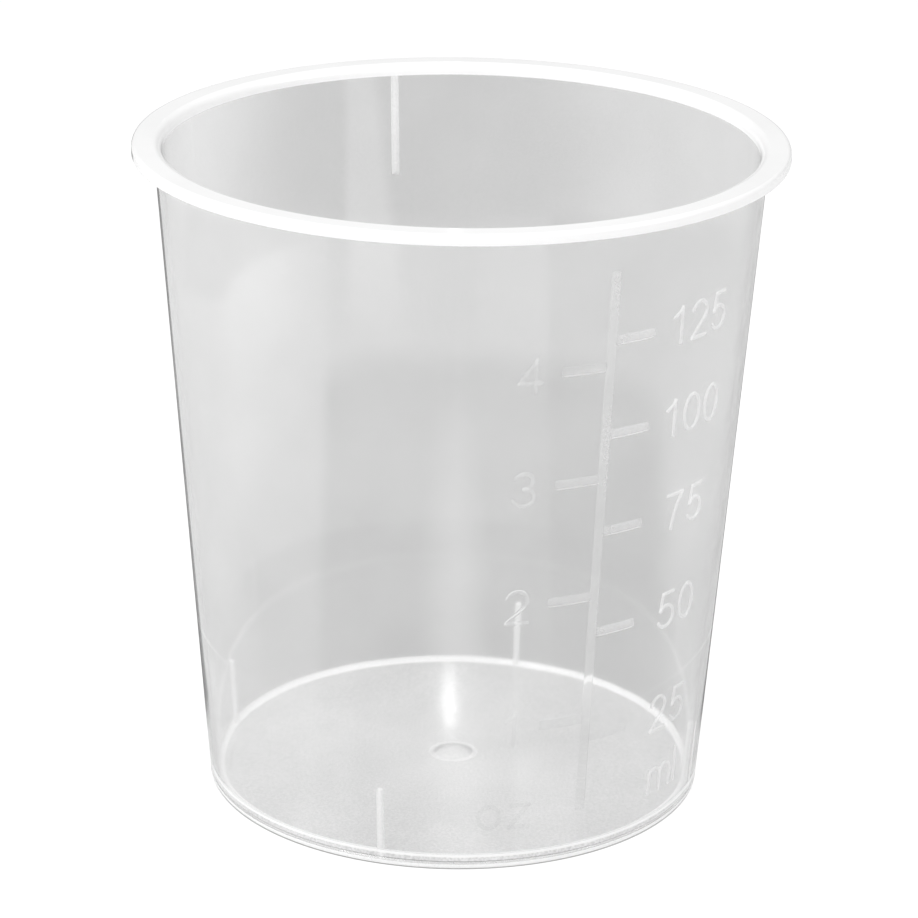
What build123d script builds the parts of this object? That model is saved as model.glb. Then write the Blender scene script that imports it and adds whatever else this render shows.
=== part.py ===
from build123d import *
from math import pi
import os

# A tapered, open specimen cup, injection moulded in one piece from clear polypropylene.
# Millimetres, +Z up. The origin is the middle of the base, on the surface the cup stands on.
# The side with the scale looks towards -Y and a little towards +X.

# Outside of the cup
height = 68.2
rim_diameter = 65.7
base_diameter = 51.2

# Wall, floor and flange: the lip is round, and the other edges are small bevels
wall_thickness = 0.8
floor_thickness = 0.9
floor_crown = 0.2
floor_corner_bevel = 0.4
flange_thickness = 1.15
flange_overhang = 2.2
flange_top_bevel = 0.3
flange_bottom_bevel = 0.15
lip_radius = 0.9

# Underside: a narrow foot ring around a slightly raised floor
foot_width = 2.0
foot_height = 0.2
base_corner_bevel = 0.3

# Gate: a shallow well under the floor, a lens of the same form on top and the trimmed stub
gate_well_diameter = 4.8
gate_well_depth = 0.4
gate_stub_diameter = 1.2
gate_stub_length = 0.3

# Short ribs inside, standing on the floor
floor_rib_count = 4
floor_rib_angle = -106.4
floor_rib_width = 0.65
floor_rib_depth = 0.5
floor_rib_length = 7.3

# One rib outside, hanging from the underside of the flange
rim_rib_angle = 103.8
rim_rib_width = 0.85
rim_rib_depth = 0.5
rim_rib_length = 11.0

# Scale raised on the outside: an upright line with marks to its left and right
scale_angle = -60.9
scale_relief = 0.2
scale_line_width = 1.0
scale_line_bottom = 5.5
scale_line_below_flange = 4.15
mark_length = 4.5
mark_height = 1.0
millilitre = 1000.0
fluid_ounce = 29.5735 * millilitre
millilitre_marks = [step * 25 * millilitre for step in range(1, 6)]
ounce_marks = [step * fluid_ounce for step in range(1, 5)]

# Half the wall: how deep each raised feature is rooted in what carries it
root = wall_thickness / 2

flange_underside = height - flange_thickness
wall_top_diameter = rim_diameter - 2 * flange_overhang
taper = (wall_top_diameter - base_diameter) / 2 / flange_underside
floor_edge = foot_height + floor_thickness
floor_middle = floor_edge + floor_crown


def outside(level):
    """Radius of the wall's outside at a height above the table."""
    return base_diameter / 2 + taper * level


def inside(level):
    """Radius of the wall's inside at a height above the table."""
    return outside(level) - wall_thickness


def level_of(volume):
    """Height of the surface of a volume. The wall is a cone with its tip cut off."""
    floor_radius = inside(floor_edge)
    crown_volume = pi * floor_radius**2 * floor_crown / 3
    surface_radius = (floor_radius**3 + 3 * taper * (volume + crown_volume) / pi) ** (1 / 3)
    return floor_edge + (surface_radius - floor_radius) / taper


def corner_at(section, point):
    """The corner of a section at a point."""
    return section.vertices().sort_by_distance((*point, 0))[0]


def cup_section():
    """Half of the cup's section, from the middle of the floor out to the flange."""
    below_middle = (0, foot_height + floor_crown)
    above_middle = (0, floor_middle)
    foot_outer = (outside(0), 0)
    foot_inner = (outside(0) - foot_width, 0)
    foot_top = (foot_inner[0] - foot_height, foot_height)
    flange_root = (outside(flange_underside), flange_underside)
    flange_below = (rim_diameter / 2, flange_underside)
    flange_above = (rim_diameter / 2, height)
    lip = (inside(height), height)
    floor_corner = (inside(floor_edge), floor_edge)
    section = make_face(
        Polyline(
            below_middle,
            foot_top,
            foot_inner,
            foot_outer,
            flange_root,
            flange_below,
            flange_above,
            lip,
            floor_corner,
            above_middle,
            close=True,
        )
    )
    section = fillet(corner_at(section, lip), lip_radius)
    section = chamfer(corner_at(section, flange_above), flange_top_bevel)
    section = chamfer(corner_at(section, flange_below), flange_bottom_bevel)
    section = chamfer(corner_at(section, foot_outer), base_corner_bevel)
    return chamfer(corner_at(section, floor_corner), floor_corner_bevel)


def turned(section, start_angle=0.0, arc=360.0):
    """A section turned about the cup's axis, counted from +X."""
    return Rot(0, 0, start_angle) * revolve(Plane.XZ * section, Axis.Z, arc)


def gate_cap(level):
    """The flat spherical cap whose form the gate's well and lens share."""
    radius = gate_well_diameter / 2
    outline = Curve() + [
        TangentArc((0, gate_well_depth), (radius, 0), tangent=(1, 0)),
        Polyline((radius, 0), (radius, -foot_height), (0, -foot_height), (0, gate_well_depth)),
    ]
    return Pos(0, 0, level) * turned(make_face(outline))


def gate_stub():
    """The trimmed sprue in the well, short of the surface the cup stands on."""
    ceiling = foot_height + floor_crown + gate_well_depth
    length = gate_stub_length + floor_thickness / 2
    middle = ceiling - gate_stub_length + length / 2
    return Pos(0, 0, middle) * Cylinder(gate_stub_diameter / 2, length)


def upright_rib(angle, width, outline):
    """A rib or line that runs up the wall, given by its outline seen from the side."""
    profile = Plane.XZ * Polygon(*outline, align=None)
    return Rot(0, 0, angle) * extrude(profile, amount=width / 2, both=True)


def floor_rib(angle):
    """A rib in the corner of floor and wall, with a sloped top."""
    bottom = floor_edge - floor_thickness / 2
    top = floor_edge + floor_rib_length
    shoulder = top - floor_rib_depth
    outline = [
        (inside(bottom) + root, bottom),
        (inside(top) + root, top),
        (inside(top), top),
        (inside(shoulder) - floor_rib_depth, shoulder),
        (inside(bottom) - floor_rib_depth, bottom),
    ]
    return upright_rib(angle, floor_rib_width, outline)


def raised_outline(bottom, top, relief):
    """Outline of a feature that stands out from the wall by a relief."""
    return [
        (outside(bottom) - root, bottom),
        (outside(bottom) + relief, bottom),
        (outside(top) + relief, top),
        (outside(top) - root, top),
    ]


def rim_rib():
    """The rib outside, from the underside of the flange downwards."""
    top = flange_underside + flange_thickness / 2
    bottom = flange_underside - rim_rib_length
    return upright_rib(rim_rib_angle, rim_rib_width, raised_outline(bottom, top, rim_rib_depth))


def scale_line():
    """The upright line of the scale."""
    top = flange_underside - scale_line_below_flange
    outline = raised_outline(scale_line_bottom, top, scale_relief)
    return upright_rib(scale_angle, scale_line_width, outline)


def scale_mark(volume, side):
    """A mark at the height of a volume, which runs round the wall from the line."""
    level = level_of(volume)
    outline = raised_outline(level - mark_height / 2, level + mark_height / 2, scale_relief)
    arc = (scale_line_width / 2 + mark_length) / outside(level) * 180 / pi
    start_angle = scale_angle if side == "right" else scale_angle - arc
    return turned(Polygon(*outline, align=None), start_angle, arc)


def cup():
    """The whole moulding."""
    solid = turned(cup_section())
    solid += gate_cap(floor_middle)
    solid -= gate_cap(foot_height + floor_crown)
    solid += gate_stub()
    for index in range(floor_rib_count):
        solid += floor_rib(floor_rib_angle + index * 360 / floor_rib_count)
    solid += rim_rib()
    solid += scale_line()
    for volume in millilitre_marks:
        solid += scale_mark(volume, "right")
    for volume in ounce_marks:
        solid += scale_mark(volume, "left")
    return solid


os.makedirs("parts", exist_ok=True)
export_step(cup(), "parts/cup.step")
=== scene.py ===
import bpy
from math import atan2, cos, hypot, pi, radians, sin, tan
from mathutils import Matrix, Vector

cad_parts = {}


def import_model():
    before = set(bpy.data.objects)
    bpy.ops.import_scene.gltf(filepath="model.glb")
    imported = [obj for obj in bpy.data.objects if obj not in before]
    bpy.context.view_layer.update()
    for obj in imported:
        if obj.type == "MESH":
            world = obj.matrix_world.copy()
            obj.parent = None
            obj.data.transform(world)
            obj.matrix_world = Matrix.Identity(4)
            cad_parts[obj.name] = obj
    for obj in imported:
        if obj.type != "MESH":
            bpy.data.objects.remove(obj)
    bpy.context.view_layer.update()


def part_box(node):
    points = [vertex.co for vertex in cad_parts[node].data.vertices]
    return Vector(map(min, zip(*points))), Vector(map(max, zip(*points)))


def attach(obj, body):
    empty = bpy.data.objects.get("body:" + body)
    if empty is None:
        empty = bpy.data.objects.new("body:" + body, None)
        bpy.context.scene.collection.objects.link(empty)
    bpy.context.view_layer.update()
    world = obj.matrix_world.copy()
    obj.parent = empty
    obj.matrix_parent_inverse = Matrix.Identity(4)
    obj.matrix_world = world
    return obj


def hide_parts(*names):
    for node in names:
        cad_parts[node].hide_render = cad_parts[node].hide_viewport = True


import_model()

# Sizes in millimetres, as in the part, turned into metres where a mesh is made
MM = 0.001
low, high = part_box("cup")
HEIGHT = (high.z - low.z) / MM
RIM_RADIUS = (high.x - low.x) / 2 / MM
BASE_RADIUS = 25.6
FLANGE_OVERHANG = 2.2
FLANGE_THICKNESS = 1.15
WALL = 0.8
FLOOR_THICKNESS = 0.9
FLOOR_CROWN = 0.2
FOOT_WIDTH = 2.0
FOOT_HEIGHT = 0.2
GATE_RADIUS = 2.4
GATE_DEPTH = 0.4
STUB_RADIUS = 0.6
STUB_LENGTH = 0.3
FLANGE_UNDERSIDE = HEIGHT - FLANGE_THICKNESS
TAPER = (RIM_RADIUS - FLANGE_OVERHANG - BASE_RADIUS) / FLANGE_UNDERSIDE
FLOOR_EDGE = FOOT_HEIGHT + FLOOR_THICKNESS
FLOOR_MIDDLE = FLOOR_EDGE + FLOOR_CROWN

# Roundings of the section's corners
STUB_ROUNDING = 0.05
WELL_ROUNDING = 0.1
FOOT_ROOT_ROUNDING = 0.08
FOOT_ROUNDING = 0.05
BASE_ROUNDING = 0.35
FLANGE_ROOT_ROUNDING = 0.25
FLANGE_BOTTOM_ROUNDING = 0.12
FLANGE_TOP_ROUNDING = 0.4
LIP_ROUNDING = 0.9
FLOOR_CORNER_ROUNDING = 0.5

# How much lower than in the middle the well is at the stub, and the floor's underside at the well's edge
STUB_ROOT_DROP = 0.03
WELL_EDGE_DROP = 0.02

# Ribs. They are sunk into the wall, and their roots run into the floor or the flange
FLOOR_RIB_COUNT = 4
FLOOR_RIB_ANGLE = -106.4
FLOOR_RIB_WIDTH = 0.65
FLOOR_RIB_DEPTH = 0.5
FLOOR_RIB_LENGTH = 7.3
RIM_RIB_ANGLE = 103.8
RIM_RIB_WIDTH = 0.85
RIM_RIB_DEPTH = 0.5
RIM_RIB_LENGTH = 11.0
RIB_FLATNESS = 0.45
RIB_SINK = 0.1
RIB_STEPS = 12
RIB_ROOT = 0.2

# Scale
SCALE_ANGLE = -60.9
SCALE_RELIEF = 0.2
LINE_WIDTH = 1.0
LINE_BOTTOM = 5.5
LINE_TOP = FLANGE_UNDERSIDE - 4.15
MARK_LENGTH = 4.5
MARK_HEIGHT = 1.0
MILLILITRE = 1000.0
MILLILITRE_STEP = 25 * MILLILITRE
MILLILITRE_COUNTS = range(1, 6)
OUNCE = 29.5735 * MILLILITRE
OUNCE_COUNTS = range(1, 5)
FIGURE_STROKE = 0.4
FIGURE_RELIEF = 0.15
RIGHT_FIGURES_FROM_LINE = 11.55
LEFT_FIGURES_FROM_LINE = -8.1
RIGHT_FIGURE_HEIGHT = 4.1
LEFT_FIGURE_HEIGHT = 3.8
LEFT_FIGURE_DROP = 0.2
UNIT_LEVEL = 6.3

# Resolution of the meshes: numbers of steps, the rings of a round end in degrees, and a figure's spacing
SEGMENTS = 256
ARC_STEPS = 7
WELL_STEPS = 9
LENS_STEPS = 12
CAP_TURNS = (80, 60, 40, 20)
FIGURE_SPACING = 0.4


def outside(level):
    """Radius of the wall's outside at a height above the table."""
    return BASE_RADIUS + TAPER * level


def inside(level):
    """Radius of the wall's inside at a height above the table."""
    return outside(level) - WALL


def level_of(volume):
    """Height of the surface of a volume."""
    floor_radius = inside(FLOOR_EDGE)
    crown_volume = pi * floor_radius**2 * FLOOR_CROWN / 3
    surface_radius = (floor_radius**3 + 3 * TAPER * (volume + crown_volume) / pi) ** (1 / 3)
    return FLOOR_EDGE + (surface_radius - floor_radius) / TAPER


def new_piece(name, points, faces, material):
    """A mesh piece from points in millimetres, which rides on the cup's only body."""
    mesh = bpy.data.meshes.new(name)
    mesh.from_pydata([tuple(value * MM for value in point) for point in points], [], faces)
    mesh.validate()
    mesh.shade_smooth()
    mesh.materials.append(material)
    piece = bpy.data.objects.new(name, mesh)
    bpy.context.scene.collection.objects.link(piece)
    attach(piece, "root")
    return piece


# The turned form of the cup


def direction(a, b):
    """Unit vector from one point of a section to another."""
    length = hypot(b[0] - a[0], b[1] - a[1])
    return ((b[0] - a[0]) / length, (b[1] - a[1]) / length)


def rounded_outline(corners):
    """Points of an open outline with round corners, each with the directions in and out of it."""
    first, last = corners[0], corners[-1]
    start = direction(first, corners[1])
    outline = [(first[:2], start, start)]
    for before, corner, after in zip(corners, corners[1:], corners[2:]):
        arriving = direction(before, corner)
        leaving = direction(corner, after)
        radius = corner[2]
        if radius == 0:
            outline.append((corner[:2], arriving, leaving))
            continue
        turn = atan2(
            arriving[0] * leaving[1] - arriving[1] * leaving[0],
            arriving[0] * leaving[0] + arriving[1] * leaving[1],
        )
        side = 1 if turn > 0 else -1
        back = radius * tan(abs(turn) / 2)
        tangent_point = (corner[0] - arriving[0] * back, corner[1] - arriving[1] * back)
        centre = (
            tangent_point[0] - side * arriving[1] * radius,
            tangent_point[1] + side * arriving[0] * radius,
        )
        heading = atan2(arriving[1], arriving[0])
        for step in range(ARC_STEPS + 1):
            angle = heading + turn * step / ARC_STEPS
            along = (cos(angle), sin(angle))
            point = (centre[0] + side * along[1] * radius, centre[1] - side * along[0] * radius)
            outline.append((point, along, along))
    end = direction(corners[-2], last)
    outline.append((last[:2], end, end))
    return outline


def gate_well(level):
    """The shallow cap of the gate's well, from near the middle outwards."""
    sphere = (GATE_RADIUS**2 + GATE_DEPTH**2) / 2 / GATE_DEPTH
    middle = level + GATE_DEPTH - sphere
    radii = [GATE_RADIUS * step / WELL_STEPS for step in range(1, WELL_STEPS)]
    return [(radius, middle + (sphere**2 - radius**2) ** 0.5, 0) for radius in radii]


def gate_lens():
    """The lens above the gate, which runs softly into the floor, from its edge inwards."""
    points = []
    for step in range(LENS_STEPS, 0, -1):
        radius = GATE_RADIUS * step / LENS_STEPS
        rise = GATE_DEPTH * (1 + cos(pi * radius / GATE_RADIUS)) / 2
        points.append((radius, FLOOR_MIDDLE + rise, 0))
    return points


def cup_corners():
    """Corners of half the section, from under the gate round to the middle of the floor.

    Each corner is its radius, its height and its rounding."""
    well_level = FOOT_HEIGHT + FLOOR_CROWN
    stub_level = well_level + GATE_DEPTH - STUB_LENGTH
    foot_inner = BASE_RADIUS - FOOT_WIDTH
    flange_root = outside(FLANGE_UNDERSIDE)
    well = [point for point in gate_well(well_level) if point[0] > STUB_RADIUS]
    return [
        (0, stub_level, 0),
        (STUB_RADIUS, stub_level, STUB_ROUNDING),
        (STUB_RADIUS, well_level + GATE_DEPTH - STUB_ROOT_DROP, 0),
        *well,
        (GATE_RADIUS, well_level - WELL_EDGE_DROP, WELL_ROUNDING),
        (foot_inner - FOOT_HEIGHT, FOOT_HEIGHT, FOOT_ROOT_ROUNDING),
        (foot_inner, 0, FOOT_ROUNDING),
        (BASE_RADIUS, 0, BASE_ROUNDING),
        (flange_root, FLANGE_UNDERSIDE, FLANGE_ROOT_ROUNDING),
        (RIM_RADIUS, FLANGE_UNDERSIDE, FLANGE_BOTTOM_ROUNDING),
        (RIM_RADIUS, HEIGHT, FLANGE_TOP_ROUNDING),
        (inside(HEIGHT), HEIGHT, LIP_ROUNDING),
        (inside(FLOOR_EDGE), FLOOR_EDGE, FLOOR_CORNER_ROUNDING),
        *gate_lens(),
        (0, FLOOR_MIDDLE + GATE_DEPTH, 0),
    ]


def turned_cup(material):
    """The cup as one closed mesh, with the exact normals of the turned form."""
    outline = rounded_outline(cup_corners())
    points = [(0, 0, outline[0][0][1])]
    for (radius, level), _, _ in outline[1:-1]:
        for segment in range(SEGMENTS):
            angle = 2 * pi * segment / SEGMENTS
            points.append((radius * cos(angle), radius * sin(angle), level))
    top = len(points)
    points.append((0, 0, outline[-1][0][1]))
    rings = len(outline) - 2
    faces = []
    normals = []

    def normal(direction_of_outline, segment):
        """Normal at a point of the outline, pointing out of the plastic."""
        angle = 2 * pi * segment / SEGMENTS
        along_radius, along_height = direction_of_outline
        return (along_height * cos(angle), along_height * sin(angle), -along_radius)

    for segment in range(SEGMENTS):
        after = (segment + 1) % SEGMENTS
        faces.append((0, 1 + after, 1 + segment))
        first = outline[1][1]
        normals += [normal(outline[0][2], segment), normal(first, after), normal(first, segment)]
        for ring in range(rings - 1):
            here = 1 + ring * SEGMENTS
            above = here + SEGMENTS
            faces.append((here + segment, here + after, above + after, above + segment))
            leaving = outline[ring + 1][2]
            arriving = outline[ring + 2][1]
            normals += [
                normal(leaving, segment),
                normal(leaving, after),
                normal(arriving, after),
                normal(arriving, segment),
            ]
        here = 1 + (rings - 1) * SEGMENTS
        faces.append((here + segment, here + after, top))
        last = outline[-2][2]
        normals += [normal(last, segment), normal(last, after), normal(outline[-1][1], segment)]
    piece = new_piece("cup_body", points, faces, material)
    piece.data.normals_split_custom_set(normals)
    return piece


# Raised strokes, swept along lines drawn on a surface


def on_outer_wall(from_line, level, rise):
    """Point over the outer wall, placed by its distance round from the scale's line."""
    angle = radians(SCALE_ANGLE) + from_line / outside(level)
    radius = outside(level) + rise
    return (radius * cos(angle), radius * sin(angle), level)


def rounded_section(width, relief, flatness=1.0, sink=0.05, steps=8):
    """Section of a stroke, from one foot to the other: how far to the side and how far out.

    It is sunk a little into the surface. A flatness below 1 makes its sides steeper and its top flatter."""
    section = [(width / 2, -sink)]
    for step in range(steps + 1):
        angle = pi * step / steps
        side = cos(angle)
        side = abs(side) ** flatness * (1 if side > 0 else -1)
        section.append((width / 2 * side, relief * sin(angle) ** flatness))
    section.append((-width / 2, -sink))
    return section


def stroke(path, section, place, round_ends=False):
    """Points and faces of one raised stroke: a section swept along a path on a surface.

    Round ends get smaller and lower towards the tip."""
    count = len(path)
    headings = [
        direction(path[max(index - 1, 0)], path[min(index + 1, count - 1)]) for index in range(count)
    ]

    def ring(point, heading, ahead=0.0, size=1.0):
        """The section across the path. Towards a round end it lies ahead and is smaller."""
        x = point[0] + heading[0] * ahead
        y = point[1] + heading[1] * ahead
        placed = []
        for side, rise in section:
            side *= size
            rise *= size if rise > 0 else 1
            placed.append(place(x - heading[1] * side, y + heading[0] * side, rise))
        return placed

    reach = section[0][0]
    cap = [(reach * sin(radians(turn)), cos(radians(turn))) for turn in CAP_TURNS] if round_ends else []
    rings = [ring(path[0], headings[0], -ahead, size) for ahead, size in cap]
    rings += [ring(point, heading) for point, heading in zip(path, headings)]
    rings += [ring(path[-1], headings[-1], ahead, size) for ahead, size in cap[::-1]]
    corners = len(section)
    points = [point for ring_points in rings for point in ring_points]
    faces = [tuple(range(corners - 1, -1, -1)), tuple(range(len(points) - corners, len(points)))]
    for index in range(len(rings) - 1):
        here, there = index * corners, (index + 1) * corners
        for corner in range(corners):
            after = (corner + 1) % corners
            faces.append((here + corner, here + after, there + after, there + corner))
    return points, faces


def joined(strokes):
    """Several strokes as the points and faces of one mesh."""
    points, faces = [], []
    for more_points, more_faces in strokes:
        start = len(points)
        points += more_points
        faces += [tuple(start + index for index in face) for face in more_faces]
    return points, faces


def straight(start, end, spacing=0.5):
    """Points along a straight line, close enough to follow a round wall."""
    count = max(2, int(hypot(end[0] - start[0], end[1] - start[1]) / spacing) + 1)
    return [
        (
            start[0] + (end[0] - start[0]) * index / (count - 1),
            start[1] + (end[1] - start[1]) * index / (count - 1),
        )
        for index in range(count)
    ]


# Plain figures, drawn in a box one unit high


def arc(centre, radii, start, end, steps=14):
    """Points along an arc of an ellipse, in degrees."""
    return [
        (
            centre[0] + radii[0] * cos(radians(start + (end - start) * step / steps)),
            centre[1] + radii[1] * sin(radians(start + (end - start) * step / steps)),
        )
        for step in range(steps + 1)
    ]


FIGURES = {
    "0": [arc((0.3, 0.5), (0.3, 0.5), 90, 450, 28)],
    "1": [[(0.38, 0), (0.38, 1)], [(0.38, 0.98), (0.28, 0.86), (0.12, 0.76)]],
    "2": [arc((0.3, 0.71), (0.28, 0.29), 165, -35) + [(0.3, 0.3), (0.02, 0)], [(0.02, 0), (0.6, 0)]],
    "3": [arc((0.28, 0.76), (0.25, 0.24), 160, -90), arc((0.29, 0.26), (0.29, 0.26), 90, -160)],
    "4": [[(0.44, 0), (0.44, 1)], [(0.44, 1), (0, 0.3)], [(0, 0.3), (0.6, 0.3)]],
    "5": [[(0.55, 1), (0.14, 1)], [(0.14, 1), (0.07, 0.5)], arc((0.29, 0.32), (0.3, 0.32), 140, -150)],
    "7": [[(0, 1), (0.58, 1)], [(0.58, 1), (0.4, 0.72), (0.28, 0.42), (0.2, 0)]],
    "m": [
        [(0, 0), (0, 0.72)],
        arc((0.23, 0.48), (0.23, 0.24), 180, 0) + [(0.46, 0)],
        arc((0.69, 0.48), (0.23, 0.24), 180, 0) + [(0.92, 0)],
    ],
    "l": [[(0, 0), (0, 1)]],
    "o": [arc((0.29, 0.36), (0.29, 0.36), 90, 450, 24)],
    "z": [[(0.02, 0.72), (0.52, 0.72)], [(0.52, 0.72), (0, 0)], [(0, 0), (0.55, 0)]],
}
FIGURE_WIDTHS = {"1": 0.5, "m": 0.92, "l": 0.0, "z": 0.55}
USUAL_WIDTH = 0.6
FIGURE_SPREAD = 1.08
FIGURE_GAP = 0.28


def text_strokes(text, middle, height, place):
    """The strokes of a short text, centred on a point of the surface."""
    unit = height - FIGURE_STROKE
    section = rounded_section(FIGURE_STROKE, FIGURE_RELIEF)
    widths = [FIGURE_WIDTHS.get(letter, USUAL_WIDTH) * FIGURE_SPREAD for letter in text]
    length = sum(widths) + FIGURE_GAP * (len(text) - 1)
    start = middle[0] - length / 2 * unit
    strokes = []
    for letter, letter_width in zip(text, widths):
        for path in FIGURES[letter]:
            drawn = [(start + x * FIGURE_SPREAD * unit, middle[1] + (y - 0.5) * unit) for x, y in path]
            dense = [drawn[0]]
            for a, b in zip(drawn, drawn[1:]):
                dense += straight(a, b, FIGURE_SPACING)[1:]
            strokes.append(stroke(dense, section, place, round_ends=True))
        start += (letter_width + FIGURE_GAP) * unit
    return strokes


# Section of a mark, in shares of its height and relief: it slopes softly at the top and more steeply
# along its lower edge
MARK_SHARES = (
    (0.5, -0.25),
    (0.5, 0),
    (0.36, 0.6),
    (0.1, 0.95),
    (-0.1, 1),
    (-0.26, 1),
    (-0.32, 0.95),
    (-0.46, 0.3),
    (-0.5, 0),
    (-0.5, -0.25),
)
LINE_FLATNESS = 0.7


def scale(material):
    """The upright line and the marks beside it."""
    half = LINE_WIDTH / 2
    line_section = rounded_section(LINE_WIDTH, SCALE_RELIEF, LINE_FLATNESS)
    mark_section = [(side * MARK_HEIGHT, rise * SCALE_RELIEF) for side, rise in MARK_SHARES]
    strokes = [stroke(straight((0, LINE_BOTTOM), (0, LINE_TOP)), line_section, on_outer_wall)]
    marks = [(count * MILLILITRE_STEP, half, half + MARK_LENGTH) for count in MILLILITRE_COUNTS]
    marks += [(count * OUNCE, -half - MARK_LENGTH, -half) for count in OUNCE_COUNTS]
    for volume, start, end in marks:
        level = level_of(volume)
        strokes.append(stroke(straight((start, level), (end, level)), mark_section, on_outer_wall))
    return new_piece("scale", *joined(strokes), material)


def figures(material):
    """The figures of the scale, beside its marks."""
    strokes = []
    for count in MILLILITRE_COUNTS:
        volume = count * MILLILITRE_STEP
        middle = (RIGHT_FIGURES_FROM_LINE, level_of(volume))
        figure = str(round(volume / MILLILITRE))
        strokes += text_strokes(figure, middle, RIGHT_FIGURE_HEIGHT, on_outer_wall)
    for count in OUNCE_COUNTS:
        middle = (LEFT_FIGURES_FROM_LINE, level_of(count * OUNCE) - LEFT_FIGURE_DROP)
        strokes += text_strokes(str(count), middle, LEFT_FIGURE_HEIGHT, on_outer_wall)
    strokes += text_strokes("ml", (RIGHT_FIGURES_FROM_LINE, UNIT_LEVEL), RIGHT_FIGURE_HEIGHT, on_outer_wall)
    strokes += text_strokes("oz", (LEFT_FIGURES_FROM_LINE, UNIT_LEVEL), LEFT_FIGURE_HEIGHT, on_outer_wall)
    return new_piece("scale_figures", *joined(strokes), material)


# Ribs


def floor_rib(number, material):
    """A rib in the corner of floor and wall."""
    middle = radians(FLOOR_RIB_ANGLE + number * 360 / FLOOR_RIB_COUNT)

    def on_inner_wall(across, level, rise):
        radius = inside(level) - rise
        return (
            radius * cos(middle) + across * sin(middle),
            radius * sin(middle) - across * cos(middle),
            level,
        )

    top = FLOOR_EDGE + FLOOR_RIB_LENGTH - FLOOR_RIB_WIDTH / 2
    path = straight((0, FLOOR_EDGE - RIB_ROOT), (0, top))
    section = rounded_section(FLOOR_RIB_WIDTH, FLOOR_RIB_DEPTH, RIB_FLATNESS, RIB_SINK, RIB_STEPS)
    points, faces = stroke(path, section, on_inner_wall, round_ends=True)
    return new_piece(f"floor_rib_{number + 1}", points, faces, material)


def rim_rib(material):
    """The rib outside, under the flange."""
    middle = radians(RIM_RIB_ANGLE)

    def on_wall(across, level, rise):
        radius = outside(level) + rise
        return (
            radius * cos(middle) - across * sin(middle),
            radius * sin(middle) + across * cos(middle),
            level,
        )

    path = straight((0, FLANGE_UNDERSIDE + RIB_ROOT), (0, FLANGE_UNDERSIDE - RIM_RIB_LENGTH))
    section = rounded_section(RIM_RIB_WIDTH, RIM_RIB_DEPTH, RIB_FLATNESS, RIB_SINK, RIB_STEPS)
    points, faces = stroke(path, section, on_wall)
    return new_piece("rim_rib", points, faces, material)


# Materials


def math_node(tree, operation, first, second):
    """A Math node. Each input is a number or the output that feeds it."""
    made = tree.nodes.new("ShaderNodeMath")
    made.operation = operation
    for index, value in enumerate((first, second)):
        if isinstance(value, (int, float)):
            made.inputs[index].default_value = value
        else:
            tree.links.new(value, made.inputs[index])
    return made.outputs[0]


def ramp(tree, value, start, end, low, high):
    """A smooth step of a value."""
    made = tree.nodes.new("ShaderNodeMapRange")
    made.interpolation_type = "SMOOTHSTEP"
    for name, number in (("From Min", start), ("From Max", end), ("To Min", low), ("To Max", high)):
        made.inputs[name].default_value = number
    tree.links.new(value, made.inputs["Value"])
    return made.outputs[0]


def span(tree, value, ends, low, high):
    """A smooth step of a distance, between two ends in millimetres."""
    start, end = ends
    return ramp(tree, value, start * MM, end * MM, low, high)


def noise(tree, place, scale, detail):
    """A noise texture of the object's own coordinates."""
    made = tree.nodes.new("ShaderNodeTexNoise")
    made.inputs["Scale"].default_value = scale
    made.inputs["Detail"].default_value = detail
    tree.links.new(place, made.inputs["Vector"])
    return made.outputs["Fac"]


# How cloudy each area looks: 0 is clear, and 1 or more is milky. The corner is the one inside, between wall
# and floor, and its milkiness is a painted highlight. The slab is the floor's edge seen through the wall,
# and the base is what lies below it
WALL_HAZE = 0.16
FLOOR_HAZE = 0.5
CORNER_HIGHLIGHT_HAZE = 1.2
SLAB_HAZE = 0.78
SLAB_FOOT_HAZE = SLAB_HAZE * 0.3
# The base is painted milky white, standing in for the bright backdrop seen through the foot
BASE_LIGHT_HAZE = 1.1
GATE_HAZE = 0.55
# The gate's edge has a painted glint: a milkier ring that stands in for the lamp's reflection at the lens's
# rim
GATE_GLINT_HAZE = 0.75
# The flange is cloudy as thick plastic, and its full white is painted light, standing in for light carried
# round the rim
FLANGE_HAZE_AND_LIGHT = 1.25
RIB_HAZE = 0.72

# The same for the scale: on the whole, at its lower edges, where the added milkiness is a painted
# highlight, and the share left low at the left
MARK_HAZES_AND_HIGHLIGHT = (0.3, 1.0, 0.12)
FIGURE_HAZES_AND_HIGHLIGHT = (0.48, 0.6, 0.12)

# Where the haze of the cup changes, from and to, in millimetres over the table
FLANGE_LEVELS = (FLANGE_UNDERSIDE - 0.15, FLANGE_UNDERSIDE)
FLOOR_LEVELS = (FLOOR_MIDDLE + GATE_DEPTH, FLOOR_MIDDLE + 1)
SLAB_FOOT_LEVELS = (0.8, 1.0)
SLAB_TOP_LEVELS = (1.3, 1.42)
SLAB_END_LEVELS = (1.6, 1.7)
BASE_LEVELS = (0.5, 0.65)
CORNER_TOP_LEVELS = (FLOOR_EDGE + 0.4, FLOOR_EDGE + 0.55)
CORNER_FOOT_LEVELS = (0.7, 0.9)

# And in millimetres from the cup's axis
FLOOR_RADII = (24.7, 25)
OUTER_RADII = (BASE_RADIUS - 0.6, BASE_RADIUS - 0.4)
GATE_RADII = (GATE_RADIUS - 0.1, GATE_RADIUS + 0.3)
GATE_GLINT_INNER_RADII = (GATE_RADIUS - 0.6, GATE_RADIUS - 0.3)
GATE_GLINT_OUTER_RADII = (GATE_RADIUS + 0.1, GATE_RADIUS + 0.35)
CORNER_INNER_RADII = (24.0, 24.4)
CORNER_OUTER_RADII = (24.95, 25.05)

# The lower edges of the scale carry a painted highlight, made as added milkiness, and to the left and low
# on the cup the scale fades
LOWER_EDGE_HIGHLIGHT_FACING = (-0.7, -0.25)
LEFT_FADE_ACROSS = (5, 20)
LEFT_FADE_SHARES = (0.4, 1)
LOW_FADE_ACROSS = (14, 22)
LOW_FADE_RIGHT = 0.75
LOW_FADE_LEVELS = (13, 20)

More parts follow.
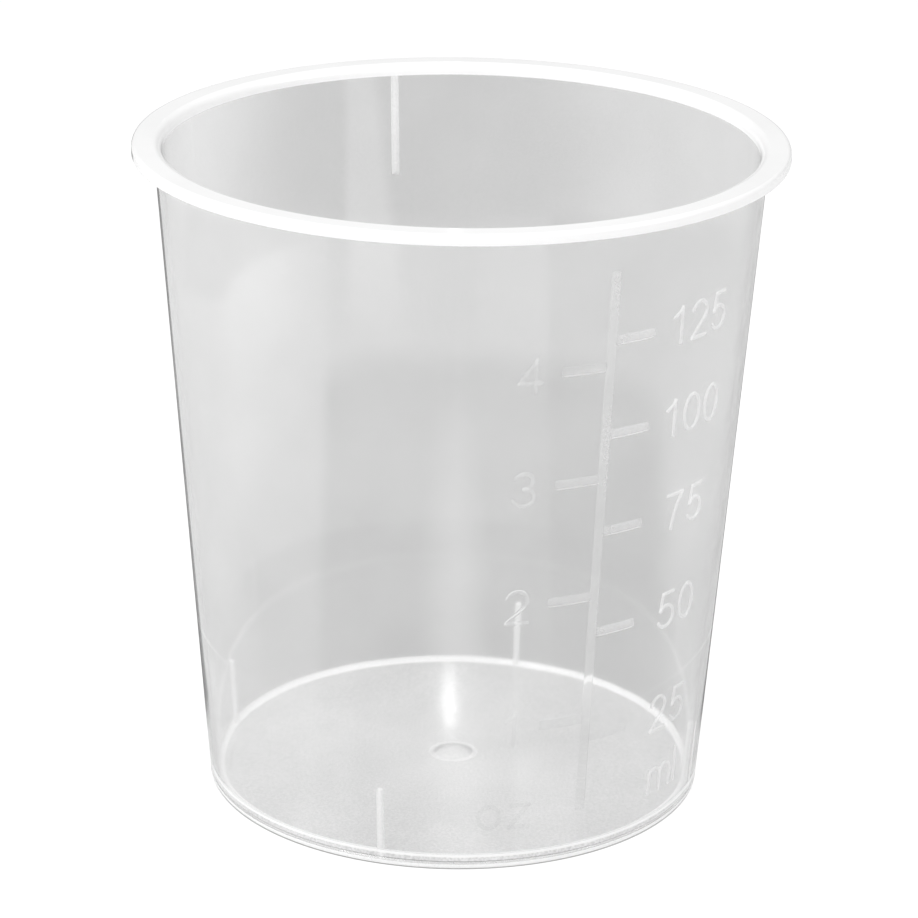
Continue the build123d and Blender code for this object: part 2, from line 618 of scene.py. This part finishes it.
# Noise in the plastic: features per metre and detail, and how far it changes the haze and the tone
GRAIN = (4000, 2)
CLOUD = (90, 3)
RIPPLE = (120, 2)
NOISE_RANGE = (0.25, 0.75)
CLOUD_HAZE = (0.94, 1.06)
CLOUD_TONE = (0.96, 1.0)
ROUGHNESS_SPREAD = 0.2
RIPPLE_STRENGTH = 0.15
RIPPLE_DISTANCE = 0.0001
PASSED_LIGHT = 0.95


def split_place(tree, place):
    """Level over the table and distance from the cup's axis."""
    split = tree.nodes.new("ShaderNodeSeparateXYZ")
    tree.links.new(place, split.inputs[0])
    flat = tree.nodes.new("ShaderNodeCombineXYZ")
    tree.links.new(split.outputs["X"], flat.inputs["X"])
    tree.links.new(split.outputs["Y"], flat.inputs["Y"])
    length = tree.nodes.new("ShaderNodeVectorMath")
    length.operation = "LENGTH"
    tree.links.new(flat.outputs[0], length.inputs[0])
    return split.outputs["Z"], length.outputs["Value"]


def cup_haze(tree, place, front):
    """How cloudy the wall, the flange, the floor and the corners of the base look. The milkiness of the
    inner corner, the foot and the gate's edge is painted light, and the flange's is partly painted light.
    """
    level, radius = split_place(tree, place)
    # Partly painted light: the flange is made fully milky
    flange = span(tree, level, FLANGE_LEVELS, 0, FLANGE_HAZE_AND_LIGHT)
    on_floor = span(tree, level, FLOOR_LEVELS, 1, 0)
    on_floor = math_node(tree, "MULTIPLY", on_floor, span(tree, radius, FLOOR_RADII, 1, 0))
    outer = span(tree, radius, OUTER_RADII, 0, 1)
    slab = span(tree, level, SLAB_FOOT_LEVELS, SLAB_FOOT_HAZE, SLAB_HAZE)
    # Painted highlight: the top of the slab is made as milky as the corner, for the corner's bright line
    # seen through the wall
    slab_top = span(tree, level, SLAB_TOP_LEVELS, 0, CORNER_HIGHLIGHT_HAZE - SLAB_HAZE)
    slab = math_node(tree, "ADD", slab, slab_top)
    slab = math_node(tree, "MULTIPLY", slab, span(tree, level, SLAB_END_LEVELS, 1, 0))
    slab = math_node(tree, "MULTIPLY", slab, outer)
    # Painted light: the foot is made milky white, standing in for the bright backdrop seen through it
    base = math_node(tree, "MULTIPLY", span(tree, level, BASE_LEVELS, BASE_LIGHT_HAZE, 0), outer)
    gate = span(tree, radius, GATE_RADII, GATE_HAZE, 0)
    # Painted glint: a milkier ring round the gate's edge
    edge = span(tree, radius, GATE_GLINT_INNER_RADII, 0, GATE_GLINT_HAZE)
    edge = math_node(tree, "MULTIPLY", edge, span(tree, radius, GATE_GLINT_OUTER_RADII, 1, 0))
    haze = math_node(tree, "MULTIPLY", on_floor, FLOOR_HAZE - WALL_HAZE)
    haze = math_node(tree, "ADD", haze, WALL_HAZE)
    for part in (slab, base, flange, gate, edge):
        haze = math_node(tree, "MAXIMUM", haze, part)
    haze = math_node(tree, "MULTIPLY", haze, front)
    # Painted highlight along the inner corner of wall and floor, on back faces too
    corner = span(tree, level, CORNER_TOP_LEVELS, CORNER_HIGHLIGHT_HAZE, 0)
    corner = math_node(tree, "MULTIPLY", corner, span(tree, level, CORNER_FOOT_LEVELS, 0, 1))
    corner = math_node(tree, "MULTIPLY", corner, span(tree, radius, CORNER_INNER_RADII, 0, 1))
    corner = math_node(tree, "MULTIPLY", corner, span(tree, radius, CORNER_OUTER_RADII, 1, 0))
    return math_node(tree, "MAXIMUM", haze, corner)


def raised_haze(tree, place, front, amount, edge_highlight, low_amount):
    """How cloudy the scale's pieces look on the whole, with a painted highlight as added milkiness along
    their lower edges.

    The low amount is the share of it that is left low on the cup at the left."""
    split = tree.nodes.new("ShaderNodeSeparateXYZ")
    tree.links.new(place, split.inputs[0])
    geometry = tree.nodes.new("ShaderNodeNewGeometry")
    facing = tree.nodes.new("ShaderNodeSeparateXYZ")
    tree.links.new(geometry.outputs["Normal"], facing.inputs[0])
    # Painted highlight: faces that look downwards, along the lower edges, are made milkier
    haze = ramp(tree, facing.outputs["Z"], *LOWER_EDGE_HIGHLIGHT_FACING, edge_highlight, amount)
    left_fade = span(tree, split.outputs["X"], LEFT_FADE_ACROSS, *LEFT_FADE_SHARES)
    haze = math_node(tree, "MULTIPLY", haze, left_fade)
    low = span(tree, split.outputs["X"], LOW_FADE_ACROSS, low_amount, LOW_FADE_RIGHT)
    low_down = span(tree, split.outputs["Z"], LOW_FADE_LEVELS, 1, 0)
    lost = math_node(tree, "MULTIPLY", low_down, math_node(tree, "SUBTRACT", 1, low))
    haze = math_node(tree, "MULTIPLY", haze, math_node(tree, "SUBTRACT", 1, lost))
    return math_node(tree, "MULTIPLY", haze, front)


def rib_haze(tree, place, front):
    """Ribs are thick, so they are cloudy all over."""
    return math_node(tree, "MULTIPLY", front, RIB_HAZE)


def plastic(name, haze_of, grain_depth, roughness=0.1, ior=1.01):
    """Natural polypropylene: clear, a little cloudy, and cloudier where it is thick.

    Shadows and bounced light pass straight through it, so that the inside of the cup isn't dark."""
    material = bpy.data.materials.new(name)
    material.use_nodes = True
    tree = material.node_tree
    links = tree.links
    shader = tree.nodes["Principled BSDF"]
    shader.inputs["IOR"].default_value = ior
    place = tree.nodes.new("ShaderNodeTexCoord").outputs["Object"]
    geometry = tree.nodes.new("ShaderNodeNewGeometry")
    front = math_node(tree, "SUBTRACT", 1, geometry.outputs["Backfacing"])
    grain = noise(tree, place, *GRAIN)
    cloud = noise(tree, place, *CLOUD)
    speckle = ramp(tree, grain, *NOISE_RANGE, 1 - grain_depth, 1 + grain_depth)
    mottled = math_node(tree, "MULTIPLY", haze_of(tree, place, front), speckle)
    mottled = math_node(tree, "MULTIPLY", mottled, ramp(tree, cloud, *NOISE_RANGE, *CLOUD_HAZE))
    clearness = math_node(tree, "SUBTRACT", 1, math_node(tree, "MINIMUM", mottled, 1))
    links.new(clearness, shader.inputs["Transmission Weight"])
    links.new(ramp(tree, cloud, *NOISE_RANGE, *CLOUD_TONE), shader.inputs["Base Color"])
    smoothest, roughest = roughness * (1 - ROUGHNESS_SPREAD), roughness * (1 + ROUGHNESS_SPREAD)
    links.new(ramp(tree, cloud, *NOISE_RANGE, smoothest, roughest), shader.inputs["Roughness"])
    bump = tree.nodes.new("ShaderNodeBump")
    bump.inputs["Strength"].default_value = RIPPLE_STRENGTH
    bump.inputs["Distance"].default_value = RIPPLE_DISTANCE
    links.new(noise(tree, place, *RIPPLE), bump.inputs["Height"])
    links.new(bump.outputs["Normal"], shader.inputs["Normal"])
    clear = tree.nodes.new("ShaderNodeBsdfTransparent")
    clear.inputs["Color"].default_value = (PASSED_LIGHT, PASSED_LIGHT, PASSED_LIGHT, 1)
    path = tree.nodes.new("ShaderNodeLightPath")
    bounced = tree.nodes.new("ShaderNodeMixShader")
    links.new(path.outputs["Is Diffuse Ray"], bounced.inputs[0])
    links.new(shader.outputs[0], bounced.inputs[1])
    links.new(clear.outputs[0], bounced.inputs[2])
    shaded = tree.nodes.new("ShaderNodeMixShader")
    links.new(path.outputs["Is Shadow Ray"], shaded.inputs[0])
    links.new(bounced.outputs[0], shaded.inputs[1])
    links.new(clear.outputs[0], shaded.inputs[2])
    links.new(shaded.outputs[0], tree.nodes["Material Output"].inputs["Surface"])
    return material


# Studio

# Table: half its side and how far it lies under the cup, in metres, its tone, the light of its own that
# keeps it white, and the painted contact shadow, a dark line where the cup stands, in millimetres
TABLE_HALF = 3.0
TABLE_DROP = 0.00002
TABLE_TONE = 0.8
TABLE_LIFT = 0.24
CONTACT_SHADOW_RADII = (25.4, 25.65)
CONTACT_SHADOW_TONE = 0.3

# The thin ring round the cup, which shows only in reflections, in millimetres
RING_RADIUS = 50.4
RING_EDGE = (0.2, 0.4)
RING_TONES = (1.0, 0.8)

# The dark area behind the cup in reflections: where it starts, and its left and right side
DARK_START = (5, 15)
DARK_LEFT = (-30, -0.34, 2)
DARK_RIGHT = (29.5, 0.19, 2)
DARK_DEPTH = 0.6

# Areas seen through the plastic: painted light and shade that stand in for the reflections on the cup's
# walls. Circles: middle and radius, lines: place and slope, both with softness
LOW_CIRCLE = (42.0, 29.1, 0.5)
LOW_RIGHT_CIRCLE = (42.0, 29.1, 8)
MIDDLE_CIRCLE = (98.4, 34.9, 10)
HIGH_CIRCLE = (154.7, 40.6, 1.5)
LEFT_LINE = (-14.64, -0.0396, 1.0)
RIGHT_LINE = (10.82, 0.0193, 0.4)
FAR_RIGHT_LINE = (25.1, 0.0526, 3.0)
BAND_LEFT_LINE = (-11.9, -0.034, 0.8)
BAND_RIGHT_LINE = (-0.1, -0.056, 1.5)

# Their tones, from the nearest to the farthest area
LEFT_NEAR_TONE = 0.57
LEFT_MIDDLE_SPAN = (40, 180)
LEFT_MIDDLE_TONES = (0.6, 0.72)
LEFT_EDGE_SPAN = (-36, -20)
LEFT_EDGE_LIFTS = (0.04, -0.08)
LEFT_FAR_TONE = 0.64
CENTRE_TONES = (0.42, 0.45, 0.59)
RIGHT_TONES = (0.385, 0.41, 0.525)
FAR_RIGHT_TONE = 0.545

# What shows through the back wall in the cup's mouth, far behind the cup
MOUTH_SPAN = (190, 205)
MOUTH_LEFT_SPAN = (-52, -24)
MOUTH_LEFT_TONES = (0.8, 0.545)
MOUTH_RIGHT_SPAN = (10, 34)
MOUTH_RIGHT_LIFTS = (0, 0.11)

# Soft lighter areas: a band, which is a painted reflection in the cup's mouth, an upright glow in the
# middle, which is painted light of the lamps behind the cup, and a spot under the cup
BAND_SPAN = (130, 190)
BAND_LIFT = 0.09
GLOW_HALF_WIDTH = (0.5, 5)
GLOW_SPAN = (25, 170)
GLOW_LIFT = 0.13
SPOT_RADII = (0, 14)
SPOT_LIFT = 0.12

# Light that comes from all round, for each kind of ray
WORLD_LIGHT = 0.7
WORLD_SEEN = 1.0
WORLD_THROUGH = 0.6
WORLD_MIRRORED = 0.5

# Lamps: place, target, size and power, in metres and watts
LAMP_TARGET = (0, 0, 0.03)
KEY_LAMP = ((-0.6, -0.5, 0.9), LAMP_TARGET, (0.6, 0.6), 6.3)
FILL_LAMP = ((0.8, -0.3, 0.6), LAMP_TARGET, (0.5, 0.5), 2)

# Narrow lamps stacked behind the cup: width in metres and brightness of each, and the lowest one's place
BACK_STRIPS = ((0.0018, 4), (0.0022, 6), (0.0034, 11), (0.0045, 16))
BACK_STRIP_HEIGHT = 0.01
BACK_STRIPS_PLACE = (-0.002, 0.9, 0.351)


def right_of(tree, across, away, offset, slope, softness):
    """0 to the left of a straight line on the table and 1 to its right."""
    line = math_node(tree, "MULTIPLY_ADD", away, slope)
    line.node.inputs[2].default_value = offset * MM
    distance = math_node(tree, "SUBTRACT", across, line)
    return ramp(tree, distance, -softness * MM, softness * MM, 0, 1)


def beyond(tree, across, away, middle, radius, softness):
    """0 in front of the far side of a circle on the table and 1 behind it."""
    squared = math_node(tree, "MULTIPLY", across, across)
    left = math_node(tree, "MAXIMUM", math_node(tree, "SUBTRACT", (radius * MM) ** 2, squared), 0)
    edge = math_node(tree, "ADD", math_node(tree, "SQRT", left, 0), middle * MM)
    return ramp(tree, math_node(tree, "SUBTRACT", away, edge), -softness * MM, softness * MM, 0, 1)


def blend(tree, factor, first, second):
    """Between two values or outputs, by a factor."""
    made = tree.nodes.new("ShaderNodeMix")
    tree.links.new(factor, made.inputs["Factor"])
    for name, value in (("A", first), ("B", second)):
        if isinstance(value, (int, float)):
            made.inputs[name].default_value = value
        else:
            tree.links.new(value, made.inputs[name])
    return made.outputs["Result"]


def tone_through(tree, across, away):
    """Painted light and dark areas behind the cup, which show only through the plastic and stand in for the
    reflections on its walls.
    """
    low = beyond(tree, across, away, *LOW_CIRCLE)
    middle = beyond(tree, across, away, *MIDDLE_CIRCLE)
    high = beyond(tree, across, away, *HIGH_CIRCLE)
    low_right = beyond(tree, across, away, *LOW_RIGHT_CIRCLE)
    left_tone = blend(tree, low, LEFT_NEAR_TONE, span(tree, away, LEFT_MIDDLE_SPAN, *LEFT_MIDDLE_TONES))
    edge_left = span(tree, across, LEFT_EDGE_SPAN, *LEFT_EDGE_LIFTS)
    left_tone = blend(tree, high, math_node(tree, "ADD", left_tone, edge_left), LEFT_FAR_TONE)
    near_tone, middle_tone, far_tone = CENTRE_TONES
    centre_tone = blend(tree, middle, blend(tree, low, near_tone, middle_tone), far_tone)
    near_tone, middle_tone, far_tone = RIGHT_TONES
    right_tone = blend(tree, middle, blend(tree, low_right, near_tone, middle_tone), far_tone)
    tone = blend(tree, right_of(tree, across, away, *LEFT_LINE), left_tone, centre_tone)
    tone = blend(tree, right_of(tree, across, away, *RIGHT_LINE), tone, right_tone)
    tone = blend(tree, right_of(tree, across, away, *FAR_RIGHT_LINE), tone, FAR_RIGHT_TONE)
    mouth_left = span(tree, across, MOUTH_LEFT_SPAN, *MOUTH_LEFT_TONES)
    mouth_right = span(tree, across, MOUTH_RIGHT_SPAN, *MOUTH_RIGHT_LIFTS)
    mouth = math_node(tree, "ADD", mouth_left, mouth_right)
    tone = blend(tree, span(tree, away, MOUTH_SPAN, 0, 1), tone, mouth)
    # Painted reflection: a light band behind the cup's mouth
    band = right_of(tree, across, away, *BAND_LEFT_LINE)
    band = math_node(tree, "SUBTRACT", band, right_of(tree, across, away, *BAND_RIGHT_LINE))
    band = math_node(tree, "MAXIMUM", band, 0)
    band = math_node(tree, "MULTIPLY", band, span(tree, away, BAND_SPAN, 0, BAND_LIFT))
    tone = math_node(tree, "ADD", tone, band)
    # Painted light: an upright glow in the middle, for the lamps behind shining through the wall
    glow = span(tree, math_node(tree, "ABSOLUTE", across, 0), GLOW_HALF_WIDTH, 1, 0)
    glow = math_node(tree, "MULTIPLY", glow, span(tree, away, GLOW_SPAN, GLOW_LIFT, 0))
    tone = math_node(tree, "ADD", tone, glow)
    across_squared = math_node(tree, "MULTIPLY", across, across)
    away_squared = math_node(tree, "MULTIPLY", away, away)
    squared = math_node(tree, "ADD", across_squared, away_squared)
    spot = span(tree, math_node(tree, "SQRT", squared, 0), SPOT_RADII, SPOT_LIFT, 0)
    return math_node(tree, "ADD", tone, spot)


def backdrop_material():
    """A white table that keeps the cup's shadow, with a painted contact shadow as a thin dark ring where
    the cup stands.

    Through the plastic it looks grey, with soft light and dark areas, and its reflections show a thin ring
    round the cup, as in the photo."""
    material = bpy.data.materials.new("floor")
    material.use_nodes = True
    tree = material.node_tree
    nodes = tree.nodes
    links = tree.links
    nodes.remove(nodes["Principled BSDF"])
    split = nodes.new("ShaderNodeSeparateXYZ")
    place = nodes.new("ShaderNodeTexCoord").outputs["Object"]
    links.new(place, split.inputs[0])
    distance = nodes.new("ShaderNodeVectorMath")
    distance.operation = "LENGTH"
    links.new(place, distance.inputs[0])
    path = nodes.new("ShaderNodeLightPath")
    white = nodes.new("ShaderNodeBsdfDiffuse")
    white.inputs["Color"].default_value = (TABLE_TONE, TABLE_TONE, TABLE_TONE, 1)
    lift = nodes.new("ShaderNodeEmission")
    lift.inputs["Color"].default_value = (1, 1, 1, 1)
    # Painted shadow: the table's colour and its own light are darkened in a thin ring round the cup's base
    painted_contact_shadow = span(tree, distance.outputs["Value"], CONTACT_SHADOW_RADII, CONTACT_SHADOW_TONE, 1)
    links.new(math_node(tree, "MULTIPLY", painted_contact_shadow, TABLE_LIFT), lift.inputs["Strength"])
    shadowed_table = nodes.new("ShaderNodeBsdfDiffuse")
    links.new(math_node(tree, "MULTIPLY", painted_contact_shadow, TABLE_TONE), shadowed_table.inputs["Color"])
    lifted = nodes.new("ShaderNodeAddShader")
    links.new(shadowed_table.outputs[0], lifted.inputs[0])
    links.new(lift.outputs[0], lifted.inputs[1])
    from_ring = math_node(tree, "SUBTRACT", distance.outputs["Value"], RING_RADIUS * MM)
    ring = math_node(tree, "ABSOLUTE", from_ring, 0)
    mirrored = nodes.new("ShaderNodeBsdfDiffuse")
    behind = span(tree, split.outputs["Y"], DARK_START, 0, 1)
    right_edge = right_of(tree, split.outputs["X"], split.outputs["Y"], *DARK_RIGHT)
    left_edge = right_of(tree, split.outputs["X"], split.outputs["Y"], *DARK_LEFT)
    dark = math_node(tree, "MULTIPLY", behind, math_node(tree, "SUBTRACT", left_edge, right_edge))
    dark = math_node(tree, "MULTIPLY", dark, DARK_DEPTH)
    tone = math_node(tree, "SUBTRACT", span(tree, ring, RING_EDGE, *RING_TONES), dark)
    links.new(tone, mirrored.inputs["Color"])
    grey = nodes.new("ShaderNodeBsdfDiffuse")
    links.new(tone_through(tree, split.outputs["X"], split.outputs["Y"]), grey.inputs["Color"])
    mirror_mix = nodes.new("ShaderNodeMixShader")
    links.new(path.outputs["Is Glossy Ray"], mirror_mix.inputs[0])
    links.new(white.outputs[0], mirror_mix.inputs[1])
    links.new(mirrored.outputs[0], mirror_mix.inputs[2])
    camera_mix = nodes.new("ShaderNodeMixShader")
    links.new(path.outputs["Is Camera Ray"], camera_mix.inputs[0])
    links.new(mirror_mix.outputs[0], camera_mix.inputs[1])
    links.new(lifted.outputs[0], camera_mix.inputs[2])
    through_mix = nodes.new("ShaderNodeMixShader")
    links.new(path.outputs["Is Transmission Ray"], through_mix.inputs[0])
    links.new(camera_mix.outputs[0], through_mix.inputs[1])
    links.new(grey.outputs[0], through_mix.inputs[2])
    links.new(through_mix.outputs[0], nodes["Material Output"].inputs["Surface"])
    return material


def floor():
    """The table, large enough for the whole view."""
    corners = [(x * TABLE_HALF, y * TABLE_HALF, 0) for x, y in ((-1, -1), (1, -1), (1, 1), (-1, 1))]
    mesh = bpy.data.meshes.new("table")
    mesh.from_pydata(corners, [], [(0, 1, 2, 3)])
    mesh.materials.append(backdrop_material())
    table = bpy.data.objects.new("table", mesh)
    table.location.z = -TABLE_DROP
    bpy.context.scene.collection.objects.link(table)


def world():
    """Even light from all round, white where the camera sees it."""
    surroundings = bpy.data.worlds.new("studio")
    surroundings.use_nodes = True
    nodes = surroundings.node_tree.nodes
    links = surroundings.node_tree.links
    path = nodes.new("ShaderNodeLightPath")
    light = nodes["Background"]
    light.inputs["Color"].default_value = (1, 1, 1, 1)
    light.inputs["Strength"].default_value = WORLD_LIGHT
    white = nodes.new("ShaderNodeBackground")
    white.inputs["Strength"].default_value = WORLD_SEEN
    grey = nodes.new("ShaderNodeBackground")
    grey.inputs["Strength"].default_value = WORLD_THROUGH
    dim = nodes.new("ShaderNodeBackground")
    dim.inputs["Strength"].default_value = WORLD_MIRRORED
    mirrored = nodes.new("ShaderNodeMixShader")
    links.new(path.outputs["Is Glossy Ray"], mirrored.inputs[0])
    links.new(light.outputs[0], mirrored.inputs[1])
    links.new(dim.outputs[0], mirrored.inputs[2])
    seen = nodes.new("ShaderNodeMixShader")
    links.new(path.outputs["Is Camera Ray"], seen.inputs[0])
    links.new(mirrored.outputs[0], seen.inputs[1])
    links.new(white.outputs[0], seen.inputs[2])
    through = nodes.new("ShaderNodeMixShader")
    links.new(path.outputs["Is Transmission Ray"], through.inputs[0])
    links.new(seen.outputs[0], through.inputs[1])
    links.new(grey.outputs[0], through.inputs[2])
    links.new(through.outputs[0], nodes["World Output"].inputs["Surface"])
    bpy.context.scene.world = surroundings


def lamp(name, place, target, size, strength):
    """A soft rectangular lamp that looks at a point."""
    light = bpy.data.lights.new(name, "AREA")
    light.shape = "RECTANGLE"
    light.size, light.size_y = size
    light.energy = strength
    holder = bpy.data.objects.new(name, light)
    holder.location = place
    holder.rotation_euler = (Vector(target) - Vector(place)).to_track_quat("-Z", "Y").to_euler()
    bpy.context.scene.collection.objects.link(holder)


# The camera of the photo: its place in metres, pitch and roll in degrees, and focal length in pixels
CAMERA_PLACE = (0, -0.367476, 0.170479)
CAMERA_PITCH = 20.359
CAMERA_ROLL = 0.782
FOCAL_PIXELS = 3812.4
PHOTO_PIXELS = 918
PRINCIPAL_COLUMN = 457.24
SENSOR_WIDTH = 36
NEAREST_SEEN = 0.01


def camera():
    """The camera, at the photo's viewing angle."""
    data = bpy.data.cameras.new("camera")
    data.sensor_width = SENSOR_WIDTH
    data.lens = FOCAL_PIXELS / PHOTO_PIXELS * SENSOR_WIDTH
    data.shift_x = (PHOTO_PIXELS / 2 - PRINCIPAL_COLUMN) / PHOTO_PIXELS
    data.clip_start = NEAREST_SEEN
    holder = bpy.data.objects.new("camera", data)
    tilt = Matrix.Rotation(radians(90 - CAMERA_PITCH), 4, "X")
    roll = Matrix.Rotation(radians(CAMERA_ROLL), 4, "Z")
    holder.matrix_world = Matrix.Translation(CAMERA_PLACE) @ tilt @ roll
    bpy.context.scene.collection.objects.link(holder)
    bpy.context.scene.camera = holder


camera()
world()
floor()
lamp("key", *KEY_LAMP)
lamp("fill", *FILL_LAMP)
for step, (width, power) in enumerate(BACK_STRIPS):
    across, away, lowest = BACK_STRIPS_PLACE
    place = (across, away, lowest + BACK_STRIP_HEIGHT * step)
    size = (width, BACK_STRIP_HEIGHT)
    lamp(f"back_{step + 1}", place, (0, 0, 0), size, width * BACK_STRIP_HEIGHT * power)

clear = plastic("polypropylene", cup_haze, grain_depth=0.14, roughness=0.045, ior=1.49)
marked = plastic("polypropylene_marks", lambda *at: raised_haze(*at, *MARK_HAZES_AND_HIGHLIGHT), grain_depth=0.05)
lettered = plastic("polypropylene_figures", lambda *at: raised_haze(*at, *FIGURE_HAZES_AND_HIGHLIGHT), grain_depth=0.05)
ribbed = plastic("polypropylene_ribs", rib_haze, grain_depth=0.05, roughness=0.1, ior=1.1)
cup = turned_cup(clear)
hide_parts("cup")
scale(marked)
figures(lettered)
for number in range(FLOOR_RIB_COUNT):
    floor_rib(number, ribbed)
rim_rib(ribbed)

view = bpy.context.scene.view_settings
view.view_transform = "Standard"
